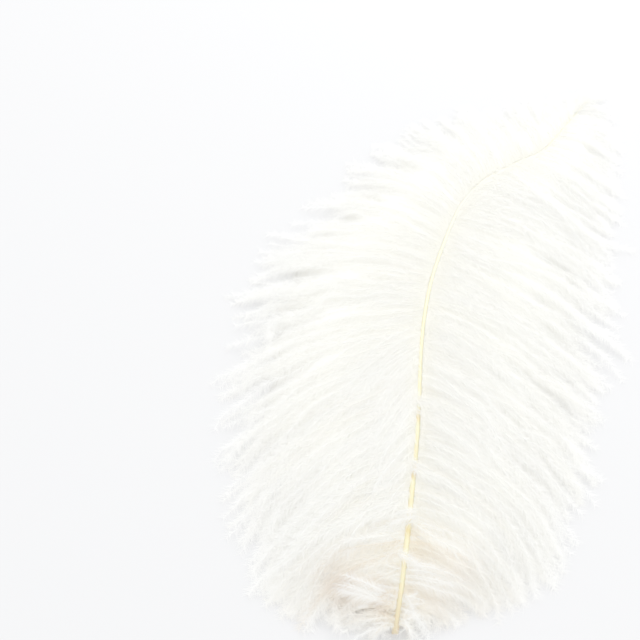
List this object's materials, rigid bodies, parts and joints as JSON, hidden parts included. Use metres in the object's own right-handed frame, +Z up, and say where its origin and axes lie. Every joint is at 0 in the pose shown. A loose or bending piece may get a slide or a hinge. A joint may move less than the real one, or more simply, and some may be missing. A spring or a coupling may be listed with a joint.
{
  "type": "ostrich feather",
  "caption": "White ostrich plume lying on its underside: a bowed, tapering shaft with long drooping locks of soft barbs on both sides, down at the cut quill end and a curled tip.",
  "frame": {"origin": "centre of the plume's outline on the surface that it lies on", "axes": "+Y from the quill end towards the tip, +Z up out of the surface, +X to the right"},
  "size_m": [0.1842, 0.272, 0.0158],
  "materials": {
    "barbs": "soft white barbs with a fine silky fuzz, a little creamier near the shaft",
    "shaft": "pale yellow horn, satin, darker and tan at the quill end"
  },
  "bodies": {
    "root": {"feather": "barbs"}
  },
  "joints": []
}
